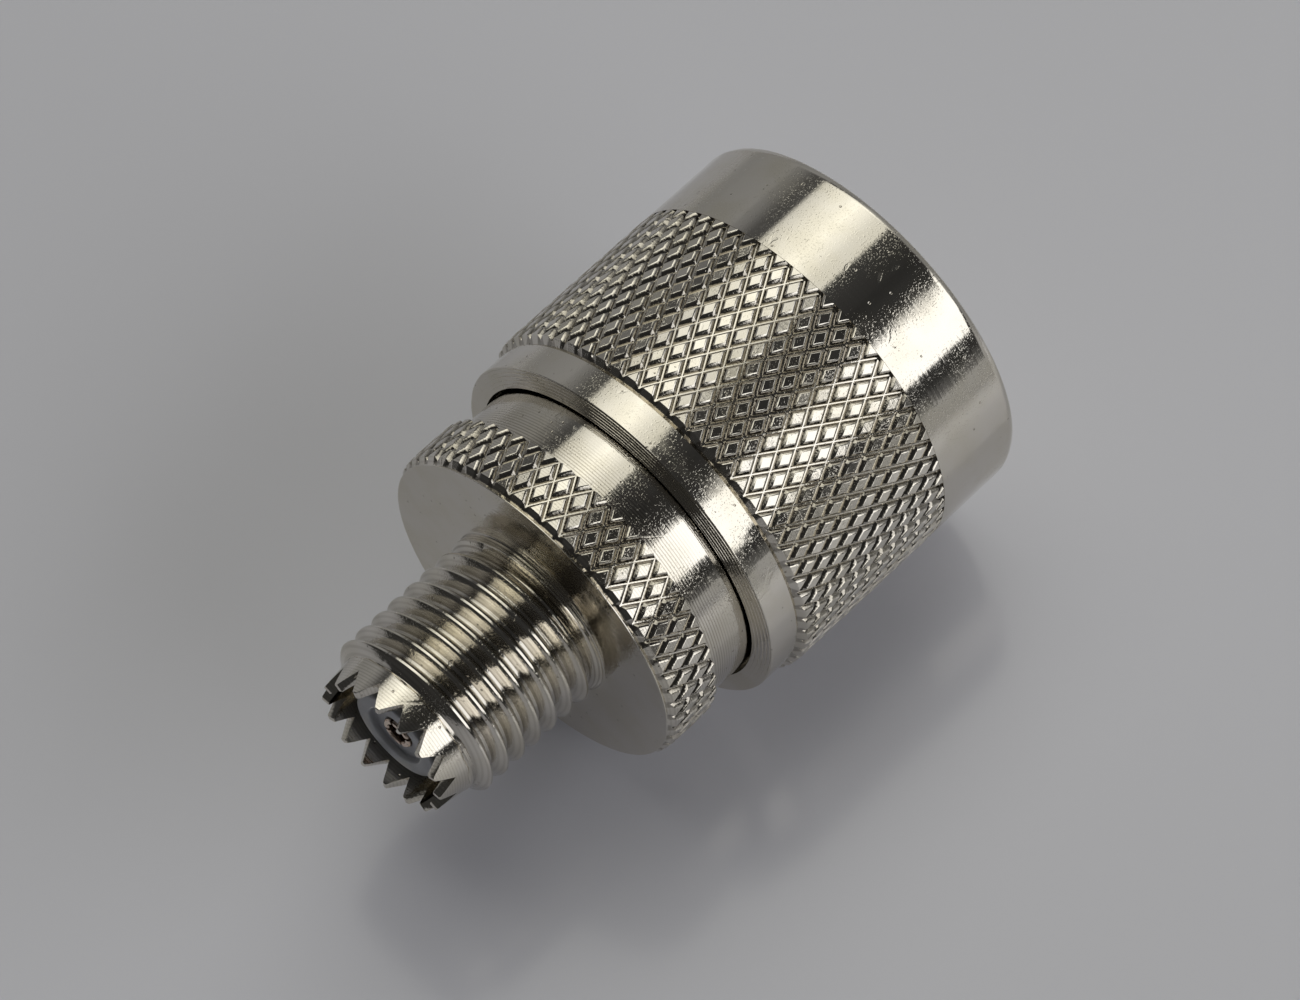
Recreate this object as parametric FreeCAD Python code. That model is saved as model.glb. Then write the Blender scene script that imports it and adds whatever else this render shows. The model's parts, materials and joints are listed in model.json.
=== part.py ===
"""Coaxial adapter: an N plug with a free coupling nut at one end, a mini UHF jack at the other.

Millimetres. The axis is Z. Z = 0 is the mouth of the coupling nut, on which the adapter
stands, and +Z runs towards the crown of the mini UHF jack. Every piece is turned about Z,
and the coupling nut and the flange carry a diamond knurl of flat-topped points.
"""
import FreeCAD, Part

import math
import os

from FreeCAD import Vector

# Diamond knurl: slant of its grooves, and how much of each point is left flat
KNURL_HELIX_DEG = 30.0
KNURL_FLAT_SHARE = 0.62

# Running and seating clearances, each a gap on the radius or on one side
NUT_RUNNING_GAP = 0.06
RING_SIDE_GAP = 0.03
SEAT_GAP = 0.02

# Coupling nut, 5/8-24 UNEF inside
NUT_LENGTH = 16.84
NUT_PLAIN_RING_LENGTH = 5.08
NUT_RIM_ROUNDING = 0.40
NUT_KNURL_BELOW_RING = 0.01
NUT_KNURL_DEPTH = 0.25
NUT_KNURL_TEETH = 62
NUT_KNURL_FIRST_NOTCH_DEG = 4.86
KNURL_TO_COLLAR_CONE = 0.26
COLLAR_BELOW_KNURL_ROOT = 0.11
COLLAR_WALL = 0.68
COLLAR_LENGTH = 1.90
COLLAR_ROUNDING = 0.15
NUT_THREAD_OVER_JOURNAL = 0.225
NUT_THREAD_LENGTH = 8.00
NUT_MOUTH_CHAMFER = 0.62
NUT_RELIEF_DEPTH = 0.625
BARREL_TO_COLLAR_GAP = 0.60
WEB_LIP = 0.95

# Retaining ring, a split ring of flat spring wire
RING_THICKNESS = 0.60
RING_WIDTH = 0.86
RING_SPLIT_DEG = 24.0
RING_GROOVE_DEPTH = 0.50
RING_GROOVE_DEPTH_GAP = 0.10
NUT_FLOAT = 0.30

# Rear shell, one turned piece from the journal to the crown
JOURNAL_WALL = 1.70
JOURNAL_LENGTH = 2.40
GROOVE_FROM_SEAT = 0.45
BARREL_STEP = 1.33
BARREL_LENGTH = 5.00
FLANGE_WIDTH = 3.13
FLANGE_STEP = 0.25
FLANGE_KNURL_DEPTH = 0.24
FLANGE_KNURL_TEETH = 52
FLANGE_KNURL_FIRST_NOTCH_DEG = 3.95
FLANGE_LAND_WIDTH = 0.35
FLANGE_LAND_BELOW_ROOT = 0.02
FLANGE_EDGE_CHAMFER = 0.05
THREAD_LENGTH = 8.17
THREAD_LEAD_LENGTH = 0.60
THREAD_LEAD_DEPTH = 0.62
CROWN_HEIGHT = 1.80
CROWN_BASE_RADIUS = 4.08
CROWN_TAPER = 0.24
CROWN_WAIST_TAPER = 0.09
CROWN_WALL = 0.44
CROWN_CAVITY_DEPTH = 2.40
CROWN_TEETH = 16
TOOTH_DEPTH = 1.00
TOOTH_TIP_WIDTH = 0.22

# Outer contact sleeve of the N plug, pressed into the rear shell
SLEEVE_RECESS = 1.50
SLEEVE_REACH = 9.10
SLEEVE_BORE_RADIUS = 3.50
SLEEVE_WALL = 0.60
SLEEVE_ROOT_STEP = 0.25
SLEEVE_EDGE_CHAMFER = 0.20
SLEEVE_SHANK_WALL = 0.90
SLEEVE_SHANK_LENGTH = 5.90
BEAD_STEP = 0.80
BEAD_FLANGE_STEP = 1.10

# Front gasket
GASKET_THICKNESS = 1.50
GASKET_INSET = 0.30
GASKET_BORE_GAP = 0.10

# Insulators
BEAD_NOSE_LENGTH = 3.40
REAR_FLANGE_STEP = 1.50
REAR_FLANGE_LENGTH = 3.00
CROWN_TO_BOSS_GAP = 0.90
BOSS_BELOW_TIPS = 0.90
BOSS_RIM_WIDTH = 0.85
BOSS_RECESS_DEPTH = 0.30

# Centre pin of the N plug
PIN_RADIUS = 0.825
PIN_LENGTH = 4.98
PIN_BELOW_SLEEVE = 0.30
PIN_SHOULDER_STEP = 0.695
PIN_NECK_STEP = 0.225
SPIGOT_STEP = 0.55
SPIGOT_LENGTH = 2.40

# Socket contact of the mini UHF jack
SOCKET_BORE_RADIUS = 0.53
SOCKET_WALL = 0.32
SOCKET_BORE_DEPTH = 5.00
SOCKET_BELOW_BOSS = 0.15
SOCKET_COLLAR_STEP = 0.55
SOCKET_COLLAR_LENGTH = 1.20
SOCKET_SLOT_WIDTH = 0.16
SOCKET_SLOT_LENGTH = 4.00
SOCKET_FINGERS = 4

# Radii that several pieces share, from the plug's bore outwards
SLEEVE_RADIUS = SLEEVE_BORE_RADIUS + SLEEVE_WALL
SLEEVE_ROOT_RADIUS = SLEEVE_RADIUS + SLEEVE_ROOT_STEP
BEAD_FLANGE_RADIUS = SLEEVE_BORE_RADIUS + BEAD_FLANGE_STEP
SLEEVE_SHANK_RADIUS = BEAD_FLANGE_RADIUS + SLEEVE_SHANK_WALL
JOURNAL_RADIUS = SLEEVE_SHANK_RADIUS + JOURNAL_WALL
GROOVE_FLOOR_RADIUS = JOURNAL_RADIUS - RING_GROOVE_DEPTH
RING_INNER_RADIUS = GROOVE_FLOOR_RADIUS + RING_GROOVE_DEPTH_GAP
RING_OUTER_RADIUS = RING_INNER_RADIUS + RING_WIDTH
NUT_THREAD_MINOR_RADIUS = JOURNAL_RADIUS + NUT_THREAD_OVER_JOURNAL
NUT_RELIEF_RADIUS = NUT_THREAD_MINOR_RADIUS + NUT_RELIEF_DEPTH
BARREL_RADIUS = JOURNAL_RADIUS + BARREL_STEP

# Radii that several pieces share at the jack
THREAD_MAJOR_RADIUS = CROWN_BASE_RADIUS + THREAD_LEAD_DEPTH
CROWN_TIP_RADIUS = CROWN_BASE_RADIUS - CROWN_TAPER
CROWN_BORE_RADIUS = CROWN_TIP_RADIUS - CROWN_WALL
REAR_BOSS_RADIUS = CROWN_BORE_RADIUS - CROWN_TO_BOSS_GAP
REAR_FLANGE_RADIUS = REAR_BOSS_RADIUS + REAR_FLANGE_STEP
PIN_NECK_RADIUS = PIN_RADIUS + PIN_NECK_STEP
SPIGOT_RADIUS = PIN_NECK_RADIUS - SPIGOT_STEP
SOCKET_RADIUS = SOCKET_BORE_RADIUS + SOCKET_WALL
SOCKET_COLLAR_RADIUS = SOCKET_RADIUS + SOCKET_COLLAR_STEP

# Stations along the axis that several pieces share
SLEEVE_FRONT_Z = SLEEVE_RECESS
GASKET_Z = SLEEVE_FRONT_Z + SLEEVE_REACH
SEAT_Z = GASKET_Z + GASKET_THICKNESS
BARREL_FRONT_Z = SEAT_Z + JOURNAL_LENGTH
FLANGE_BACK_Z = BARREL_FRONT_Z + BARREL_LENGTH
FLANGE_FACE_Z = FLANGE_BACK_Z + FLANGE_WIDTH
CROWN_BASE_Z = FLANGE_FACE_Z + THREAD_LENGTH
TIP_Z = CROWN_BASE_Z + CROWN_HEIGHT
SHANK_BACK_Z = SEAT_Z + SLEEVE_SHANK_LENGTH
BEAD_STEP_Z = SEAT_Z + BEAD_STEP
BEAD_FACE_Z = BEAD_STEP_Z - BEAD_NOSE_LENGTH
REAR_POCKET_Z = SHANK_BACK_Z + REAR_FLANGE_LENGTH
CROWN_FLOOR_Z = TIP_Z - CROWN_CAVITY_DEPTH
BOSS_Z = TIP_Z - BOSS_BELOW_TIPS
GROOVE_LOW_Z = SEAT_Z + GROOVE_FROM_SEAT
GROOVE_HIGH_Z = GROOVE_LOW_Z + NUT_FLOAT + RING_THICKNESS + 2 * RING_SIDE_GAP
RING_HIGH_Z = GROOVE_HIGH_Z - RING_SIDE_GAP
RING_LOW_Z = RING_HIGH_Z - RING_THICKNESS


def turned(outline):
    """Solid of revolution about Z from a closed outline of (radius, z) points."""
    points = [Vector(radius, 0, z) for radius, z in outline]
    face = Part.Face(Part.makePolygon(points + points[:1]))
    return face.revolve(Vector(0, 0, 0), Vector(0, 0, 1), 360)


def open_skin(outline):
    """Faces that an open outline of (radius, z) points sweeps about Z."""
    path = Part.makePolygon([Vector(radius, 0, z) for radius, z in outline])
    return path.revolve(Vector(0, 0, 0), Vector(0, 0, 1), 360).Faces


def flat_face(*points):
    return Part.Face(Part.makePolygon(list(points) + [points[0]]))


def knurl(crest, depth, low_z, high_z, teeth, first_notch_deg):
    """Facets of a diamond knurl, and the loops of points that end it at low_z and high_z.

    Grooves of both hands cross at the notches of a lattice, and a flat-topped point stands
    between each four notches. A side facet is the plane through two notches and the flat's
    side corner, and flat_up is how far that plane lets the flat reach along the axis.
    """
    root = crest - depth
    half_pitch = math.pi / teeth
    slant = math.tan(math.radians(KNURL_HELIX_DEG))
    rows = max(1, round((high_z - low_z) * slant / (half_pitch * crest)))
    half_row = (high_z - low_z) / rows
    notch_side = root * math.sin(half_pitch)
    notch_in = root * math.cos(half_pitch)
    flat_side = KNURL_FLAT_SHARE * notch_side
    lean = (flat_side - notch_side) / (notch_in * flat_side - crest * notch_side)
    flat_up = half_row * (1 - lean * crest) / (1 - lean * root)
    first_notch = math.radians(first_notch_deg)
    facets, low_loop, high_loop = [], [], []
    for row in range(rows + 1):
        for column in range((row + rows + 1) % 2, 2 * teeth, 2):
            turn = first_notch + column * half_pitch
            out = Vector(math.cos(turn), math.sin(turn), 0)
            along = Vector(-math.sin(turn), math.cos(turn), 0)
            centre = Vector(0, 0, low_z + row * half_row)
            side_notch = {s: centre + out * notch_in + along * (s * notch_side) for s in (-1, 1)}
            corner = {s: centre + out * crest + along * (s * flat_side) for s in (-1, 1)}
            tips = []
            for up in (-1, 1):
                if not 0 <= row + up <= rows:
                    continue
                tip = centre + out * crest + Vector(0, 0, up * flat_up)
                notch = centre + out * root + Vector(0, 0, up * half_row)
                tips.append((up, tip))
                for s in (-1, 1):
                    facets.append(flat_face(corner[s], side_notch[s], notch, tip))
            if len(tips) == 2:
                facets.append(flat_face(corner[-1], tips[0][1], corner[1], tips[1][1]))
            else:
                facets.append(flat_face(corner[-1], corner[1], tips[0][1]))
            if row in (0, rows):
                loop = low_loop if row == 0 else high_loop
                loop += [corner[-1], corner[1], side_notch[1]]
    return facets, low_loop, high_loop


def shoulder(loop, radius, z):
    """Flat ring between the end of a knurl and a circle, whichever of them is outside."""
    edge = Part.makePolygon(loop + loop[:1])
    circle = Part.Wire(Part.makeCircle(radius, Vector(0, 0, z)))
    outer, inner = edge, circle
    if radius > math.hypot(loop[0].x, loop[0].y):
        outer, inner = circle, edge
    return Part.Face(outer).cut(Part.Face(inner)).Faces


def sewn(faces):
    """One closed solid from faces that meet edge to edge."""
    skin = Part.Compound(faces)
    skin.sewShape()
    return Part.Solid(skin.Shells[0])


def disc(radius, low_z, high_z):
    return Part.makeCylinder(radius, high_z - low_z, Vector(0, 0, low_z))


def rounded_corner(radius, z, rounding, start_deg, steps=3):
    """Points of a quarter round about the centre (radius, z), from start_deg on."""
    angles = [math.radians(start_deg + 90.0 * step / steps) for step in range(steps + 1)]
    return [(radius + rounding * math.cos(a), z + rounding * math.sin(a)) for a in angles]


def coupling_nut():
    collar_z = NUT_LENGTH - COLLAR_LENGTH
    knurl_back = collar_z - KNURL_TO_COLLAR_CONE
    collar_bore = BARREL_RADIUS + BARREL_TO_COLLAR_GAP
    collar_radius = collar_bore + COLLAR_WALL
    land_radius = collar_radius + COLLAR_BELOW_KNURL_ROOT - SEAT_GAP
    crest = collar_radius + COLLAR_BELOW_KNURL_ROOT + NUT_KNURL_DEPTH
    ring_radius = crest + NUT_KNURL_BELOW_RING
    web_bore = JOURNAL_RADIUS + NUT_RUNNING_GAP
    groove_radius = RING_OUTER_RADIUS + RING_GROOVE_DEPTH_GAP
    groove_low = RING_LOW_Z - RING_SIDE_GAP
    groove_high = RING_HIGH_Z + RING_SIDE_GAP
    web_front, web_back = groove_low - WEB_LIP, groove_high + WEB_LIP / 2
    thread_back = NUT_MOUTH_CHAMFER + NUT_THREAD_LENGTH
    relief_step = NUT_RELIEF_RADIUS - NUT_THREAD_MINOR_RADIUS
    skin = [
        (land_radius, knurl_back),
        (collar_radius, collar_z),
    ]
    skin += rounded_corner(
        collar_radius - COLLAR_ROUNDING, NUT_LENGTH - COLLAR_ROUNDING, COLLAR_ROUNDING, 0)
    skin += [
        (collar_bore, NUT_LENGTH),
        (collar_bore, web_back),
        (web_bore, web_back),
        (web_bore, groove_high),
        (groove_radius, groove_high),
        (groove_radius, groove_low),
        (web_bore, groove_low),
        (web_bore, web_front),
        (NUT_RELIEF_RADIUS, web_front),
        (NUT_RELIEF_RADIUS, thread_back + relief_step),
        (NUT_THREAD_MINOR_RADIUS, thread_back),
        (NUT_THREAD_MINOR_RADIUS, NUT_MOUTH_CHAMFER),
        (NUT_THREAD_MINOR_RADIUS + NUT_MOUTH_CHAMFER, 0),
    ]
    skin += rounded_corner(
        ring_radius - NUT_RIM_ROUNDING, NUT_RIM_ROUNDING, NUT_RIM_ROUNDING, 270)
    skin.append((ring_radius, NUT_PLAIN_RING_LENGTH))
    facets, low_loop, high_loop = knurl(
        crest, NUT_KNURL_DEPTH, NUT_PLAIN_RING_LENGTH, knurl_back,
        NUT_KNURL_TEETH, NUT_KNURL_FIRST_NOTCH_DEG)
    ends = shoulder(low_loop, ring_radius, NUT_PLAIN_RING_LENGTH)
    ends += shoulder(high_loop, land_radius, knurl_back)
    return sewn(open_skin(skin) + facets + ends)


def snap_ring():
    ring = disc(RING_OUTER_RADIUS, RING_LOW_Z, RING_HIGH_Z)
    ring = ring.cut(disc(RING_INNER_RADIUS, RING_LOW_Z, RING_HIGH_Z))
    reach = 2 * RING_OUTER_RADIUS
    half = math.radians(RING_SPLIT_DEG / 2)
    side = reach * math.tan(half)
    wedge = Part.Face(Part.makePolygon([
        Vector(0, 0, RING_LOW_Z), Vector(reach, -side, RING_LOW_Z),
        Vector(reach, side, RING_LOW_Z), Vector(0, 0, RING_LOW_Z)]))
    return ring.cut(wedge.extrude(Vector(0, 0, RING_THICKNESS)))


def tooth_gaps():
    """Wedges across the crown, each one opening two opposite gaps between teeth."""
    pitch = 2 * math.pi * CROWN_TIP_RADIUS / CROWN_TEETH
    half_gap = (pitch - TOOTH_TIP_WIDTH) / 2
    overshoot = TOOTH_DEPTH
    half_top = half_gap * (TOOTH_DEPTH + overshoot) / TOOTH_DEPTH
    reach = 2 * CROWN_BASE_RADIUS
    root_z, top_z = TIP_Z - TOOTH_DEPTH, TIP_Z + overshoot
    wedge = Part.Face(Part.makePolygon([
        Vector(-reach, 0, root_z), Vector(-reach, half_top, top_z),
        Vector(-reach, -half_top, top_z), Vector(-reach, 0, root_z)]))
    wedge = wedge.extrude(Vector(2 * reach, 0, 0))
    turn = 360.0 / CROWN_TEETH
    wedges = []
    for index in range(CROWN_TEETH // 2):
        copy = wedge.copy()
        copy.rotate(Vector(0, 0, 0), Vector(0, 0, 1), turn * (index + 0.5))
        wedges.append(copy)
    return wedges


def rear_shell():
    waist = CROWN_BASE_RADIUS - CROWN_WAIST_TAPER
    crest = BARREL_RADIUS + FLANGE_STEP + FLANGE_KNURL_DEPTH
    land_radius = BARREL_RADIUS + FLANGE_STEP - FLANGE_LAND_BELOW_ROOT
    knurl_high = FLANGE_FACE_Z - FLANGE_LAND_WIDTH
    skin = [
        (land_radius, knurl_high),
        (land_radius, FLANGE_FACE_Z - FLANGE_EDGE_CHAMFER),
        (land_radius - FLANGE_EDGE_CHAMFER, FLANGE_FACE_Z),
        (THREAD_MAJOR_RADIUS, FLANGE_FACE_Z),
        (THREAD_MAJOR_RADIUS, CROWN_BASE_Z - THREAD_LEAD_LENGTH),
        (CROWN_BASE_RADIUS, CROWN_BASE_Z),
        (waist, CROWN_BASE_Z + CROWN_HEIGHT / 3),
        (CROWN_TIP_RADIUS, TIP_Z),
        (CROWN_BORE_RADIUS, TIP_Z),
        (CROWN_BORE_RADIUS, CROWN_FLOOR_Z),
        (REAR_BOSS_RADIUS, CROWN_FLOOR_Z),
        (REAR_BOSS_RADIUS, REAR_POCKET_Z),
        (REAR_FLANGE_RADIUS, REAR_POCKET_Z),
        (REAR_FLANGE_RADIUS, SHANK_BACK_Z),
        (SLEEVE_SHANK_RADIUS, SHANK_BACK_Z),
        (SLEEVE_SHANK_RADIUS, SEAT_Z),
        (JOURNAL_RADIUS, SEAT_Z),
        (JOURNAL_RADIUS, GROOVE_LOW_Z),
        (GROOVE_FLOOR_RADIUS, GROOVE_LOW_Z),
        (GROOVE_FLOOR_RADIUS, GROOVE_HIGH_Z),
        (JOURNAL_RADIUS, GROOVE_HIGH_Z),
        (JOURNAL_RADIUS, BARREL_FRONT_Z),
        (BARREL_RADIUS, BARREL_FRONT_Z),
        (BARREL_RADIUS, FLANGE_BACK_Z),
    ]
    facets, low_loop, high_loop = knurl(
        crest, FLANGE_KNURL_DEPTH, FLANGE_BACK_Z, knurl_high,
        FLANGE_KNURL_TEETH, FLANGE_KNURL_FIRST_NOTCH_DEG)
    ends = shoulder(low_loop, BARREL_RADIUS, FLANGE_BACK_Z)
    ends += shoulder(high_loop, land_radius, knurl_high)
    return sewn(open_skin(skin) + facets + ends).cut(tooth_gaps())


def outer_contact_sleeve():
    shank_radius = SLEEVE_SHANK_RADIUS - SEAT_GAP
    return turned([
        (SLEEVE_BORE_RADIUS + SLEEVE_EDGE_CHAMFER, SLEEVE_FRONT_Z),
        (SLEEVE_RADIUS - SLEEVE_EDGE_CHAMFER, SLEEVE_FRONT_Z),
        (SLEEVE_RADIUS, SLEEVE_FRONT_Z + SLEEVE_EDGE_CHAMFER),
        (SLEEVE_RADIUS, GASKET_Z),
        (SLEEVE_ROOT_RADIUS, GASKET_Z),
        (SLEEVE_ROOT_RADIUS, SEAT_Z),
        (shank_radius, SEAT_Z),
        (shank_radius, SHANK_BACK_Z),
        (BEAD_FLANGE_RADIUS, SHANK_BACK_Z),
        (BEAD_FLANGE_RADIUS, BEAD_STEP_Z),
        (SLEEVE_BORE_RADIUS, BEAD_STEP_Z),
        (SLEEVE_BORE_RADIUS, SLEEVE_FRONT_Z + SLEEVE_EDGE_CHAMFER),
    ])


def front_gasket():
    ring = disc(JOURNAL_RADIUS - GASKET_INSET, GASKET_Z, SEAT_Z)
    return ring.cut(disc(SLEEVE_ROOT_RADIUS + GASKET_BORE_GAP, GASKET_Z, SEAT_Z))


def front_insulator():
    bore = PIN_NECK_RADIUS + SEAT_GAP
    nose = SLEEVE_BORE_RADIUS - SEAT_GAP
    flange = BEAD_FLANGE_RADIUS - SEAT_GAP
    return turned([
        (bore, BEAD_FACE_Z), (nose, BEAD_FACE_Z), (nose, BEAD_STEP_Z),
        (flange, BEAD_STEP_Z), (flange, SHANK_BACK_Z), (bore, SHANK_BACK_Z),
    ])


def rear_insulator():
    flange = REAR_FLANGE_RADIUS - SEAT_GAP
    boss = REAR_BOSS_RADIUS - SEAT_GAP
    bore = SOCKET_RADIUS + SEAT_GAP
    collar = SOCKET_COLLAR_RADIUS + SEAT_GAP
    collar_z = SHANK_BACK_Z + SOCKET_COLLAR_LENGTH
    recess = REAR_BOSS_RADIUS - BOSS_RIM_WIDTH
    floor_z = BOSS_Z - BOSS_RECESS_DEPTH
    return turned([
        (collar, SHANK_BACK_Z), (flange, SHANK_BACK_Z), (flange, REAR_POCKET_Z),
        (boss, REAR_POCKET_Z), (boss, BOSS_Z), (recess, BOSS_Z), (recess, floor_z),
        (bore, floor_z), (bore, collar_z), (collar, collar_z),
    ])


def centre_pin():
    tip_z = SLEEVE_FRONT_Z + PIN_BELOW_SLEEVE
    shoulder_z = tip_z + PIN_LENGTH
    shoulder_radius = PIN_RADIUS + PIN_SHOULDER_STEP
    nose = rounded_corner(0, tip_z + PIN_RADIUS, PIN_RADIUS, 270, steps=6)
    return turned(nose + [
        (PIN_RADIUS, shoulder_z), (shoulder_radius, shoulder_z),
        (shoulder_radius, BEAD_FACE_Z), (PIN_NECK_RADIUS, BEAD_FACE_Z),
        (PIN_NECK_RADIUS, SHANK_BACK_Z), (SPIGOT_RADIUS, SHANK_BACK_Z),
        (SPIGOT_RADIUS, SHANK_BACK_Z + SPIGOT_LENGTH), (0, SHANK_BACK_Z + SPIGOT_LENGTH),
    ])


def socket_slots(mouth_z):
    """Crossing saw cuts that part the socket's mouth into spring fingers."""
    low = mouth_z - SOCKET_SLOT_LENGTH
    width, reach = SOCKET_SLOT_WIDTH, 2 * SOCKET_RADIUS
    corner = Vector(-reach, -width / 2, low)
    cut = Part.makeBox(2 * reach, width, 2 * SOCKET_SLOT_LENGTH, corner)
    cuts = []
    for index in range(SOCKET_FINGERS // 2):
        copy = cut.copy()
        copy.rotate(Vector(0, 0, 0), Vector(0, 0, 1), 45 + 360.0 / SOCKET_FINGERS * index)
        cuts.append(copy)
    return cuts


def socket_contact():
    mouth_z = BOSS_Z - SOCKET_BELOW_BOSS
    bore_z = mouth_z - SOCKET_BORE_DEPTH
    collar_z = SHANK_BACK_Z + SOCKET_COLLAR_LENGTH
    spigot_bore = SPIGOT_RADIUS + SEAT_GAP
    spigot_z = SHANK_BACK_Z + SPIGOT_LENGTH + SEAT_GAP
    body = turned([
        (spigot_bore, SHANK_BACK_Z), (SOCKET_COLLAR_RADIUS, SHANK_BACK_Z),
        (SOCKET_COLLAR_RADIUS, collar_z), (SOCKET_RADIUS, collar_z),
        (SOCKET_RADIUS, mouth_z), (SOCKET_BORE_RADIUS, mouth_z),
        (SOCKET_BORE_RADIUS, bore_z), (0, bore_z), (0, spigot_z), (spigot_bore, spigot_z),
    ])
    return body.cut(socket_slots(mouth_z))


PIECES = {
    "coupling_nut": coupling_nut,
    "snap_ring": snap_ring,
    "rear_shell": rear_shell,
    "outer_contact_sleeve": outer_contact_sleeve,
    "front_gasket": front_gasket,
    "front_insulator": front_insulator,
    "rear_insulator": rear_insulator,
    "centre_pin": centre_pin,
    "socket_contact": socket_contact,
}

os.makedirs("parts", exist_ok=True)
for name, make in PIECES.items():
    piece = make()
    piece.exportStep(f"parts/{name}.step")
    print(f"{name}: {piece.ShapeType}, valid {piece.isValid()}, {piece.Volume:.2f} mm3")
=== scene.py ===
"""Looks of the N to mini UHF adapter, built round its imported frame.

Sizes are in millimetres and angles in degrees, and MM turns a size into metres where a mesh
is made. The axis is Z: the coupling nut's mouth is at Z = 0 and the jack's crown at the top.
Nut, shell, contacts and insulators are turned from outlines. Knurls, threads and the crown
are grids laid on them.
"""

import json
import math
import random

import bmesh
import bpy
from mathutils import Matrix, Vector


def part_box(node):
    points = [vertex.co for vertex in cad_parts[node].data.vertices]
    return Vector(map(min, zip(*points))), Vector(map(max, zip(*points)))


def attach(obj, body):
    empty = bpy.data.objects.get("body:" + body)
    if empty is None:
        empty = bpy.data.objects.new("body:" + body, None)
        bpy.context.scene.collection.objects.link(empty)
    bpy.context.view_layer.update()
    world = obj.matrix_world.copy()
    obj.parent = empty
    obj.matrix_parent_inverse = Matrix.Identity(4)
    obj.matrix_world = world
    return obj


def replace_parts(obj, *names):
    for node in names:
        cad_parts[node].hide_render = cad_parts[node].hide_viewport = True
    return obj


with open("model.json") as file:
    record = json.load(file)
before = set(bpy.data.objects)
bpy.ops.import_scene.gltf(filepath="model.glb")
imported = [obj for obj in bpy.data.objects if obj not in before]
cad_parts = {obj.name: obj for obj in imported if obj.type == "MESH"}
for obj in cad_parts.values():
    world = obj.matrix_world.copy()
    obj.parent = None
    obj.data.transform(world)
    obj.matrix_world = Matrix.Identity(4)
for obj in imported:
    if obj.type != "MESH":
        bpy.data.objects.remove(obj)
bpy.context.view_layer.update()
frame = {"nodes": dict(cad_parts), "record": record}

MM = 0.001
TURN = 2 * math.pi
MOUNTS = {mount["name"]: mount["dims"] for mount in frame["record"]["mounts"]}


def lowest(node):
    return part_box(node)[0].z / MM


def highest(node):
    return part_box(node)[1].z / MM


def reach(node):
    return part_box(node)[1].x / MM


# Sizes that the frame gives
NUT_LENGTH = highest("coupling_nut")
TIP_Z = highest("rear_shell")
SEAT_Z = lowest("rear_shell")
SHANK_BACK_Z = highest("outer_contact_sleeve")
SLEEVE_FRONT_Z = lowest("outer_contact_sleeve")
SHANK_RADIUS = reach("outer_contact_sleeve")
GASKET_Z = lowest("front_gasket")
GASKET_RADIUS = reach("front_gasket")
BEAD_FACE_Z = lowest("front_insulator")
BEAD_FLANGE_RADIUS = reach("front_insulator")
BOSS_Z = highest("rear_insulator")
REAR_FLANGE_RADIUS = reach("rear_insulator")
PIN_TIP_Z = lowest("centre_pin")
PIN_BACK_Z = highest("centre_pin")
SOCKET_MOUTH_Z = highest("socket_contact")
SOCKET_COLLAR_RADIUS = reach("socket_contact")
SLEEVE_RADIUS = MOUNTS["plug_sleeve"]["r_mm"]
PIN_RADIUS = MOUNTS["plug_centre_pin"]["r_mm"]
NUT_THREAD_RADIUS = MOUNTS["plug_nut_thread"]["r_mm"]
NUT_THREAD_LENGTH = MOUNTS["plug_nut_thread"]["length_mm"]
JACK_THREAD_RADIUS = MOUNTS["jack_thread"]["r_mm"]
SOCKET_BORE_RADIUS = MOUNTS["jack_socket"]["r_mm"]
SOCKET_BORE_DEPTH = MOUNTS["jack_socket"]["length_mm"]

# Coupling nut
RIM_RADIUS = 9.74
RING_RADIUS = 10.15
RING_LENGTH = 5.08
KNURL_BACK_Z = 14.58
COLLAR_Z = 14.94
COLLAR_RADIUS = 9.81
COLLAR_BORE = 9.13
COLLAR_LIP_BORE = 8.70
COLLAR_LIP_LENGTH = 0.50
COLLAR_LIP_CONE = 0.25
COLLAR_END_EDGE = 0.12
COLLAR_END_STEPS = 5
COLLAR_STEP_WIDTH = 0.19
COLLAR_STEP_HEIGHT = 0.04
MOUTH_CHAMFER = 0.62
RELIEF_RADIUS = 8.05
WEB_FRONT_Z, WEB_BACK_Z = 11.60, 13.99
WEB_BORE = 7.26
RING_GROOVE_LOW_Z, RING_GROOVE_HIGH_Z = 12.85, 13.51
RING_GROOVE_RADIUS = 7.76
NUT_KNURL_CREST = 10.18
NUT_KNURL_DEPTH = 0.25
NUT_KNURL_TEETH = 62
NUT_KNURL_ROWS = 11
NUT_KNURL_FIRST_NOTCH_DEG = 4.86

# Rear shell with the jack
JOURNAL_RADIUS = 7.20
JOURNAL_BACK_Z = 14.50
SHELL_GROOVE_RADIUS = 6.70
SHELL_GROOVE_LOW_Z, SHELL_GROOVE_HIGH_Z = 12.55, 13.51
SHELL_BORE_RADIUS = 5.50
REAR_POCKET_Z = 21.00
BARREL_RADIUS = 8.53
FLANGE_BACK_Z = 19.50
FLANGE_FACE_Z = 22.63
FLANGE_LAND_Z = 22.20
FLANGE_CONE_Z = 22.58
FLANGE_LAND_RADIUS = 8.76
FLANGE_KNURL_CREST = 9.02
FLANGE_KNURL_DEPTH = 0.24
FLANGE_KNURL_TEETH = 52
FLANGE_KNURL_ROWS = 3
FLANGE_KNURL_FIRST_NOTCH_DEG = 3.95
NECK_FILLET = 0.06
JACK_THREAD_DEPTH = 0.62
JACK_THREAD_CREST_Z = 29.457
JACK_LEAD_Z = 30.56
CROWN_BASE_Z = 30.80
CROWN_BASE_RADIUS = 4.08
CROWN_TIP_RADIUS = 3.84
CROWN_WALL = 0.44
CROWN_FLOOR_Z = 30.20
CROWN_FOOT_SHARE = 0.03
CROWN_FOOT_DIP = 0.05
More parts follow.
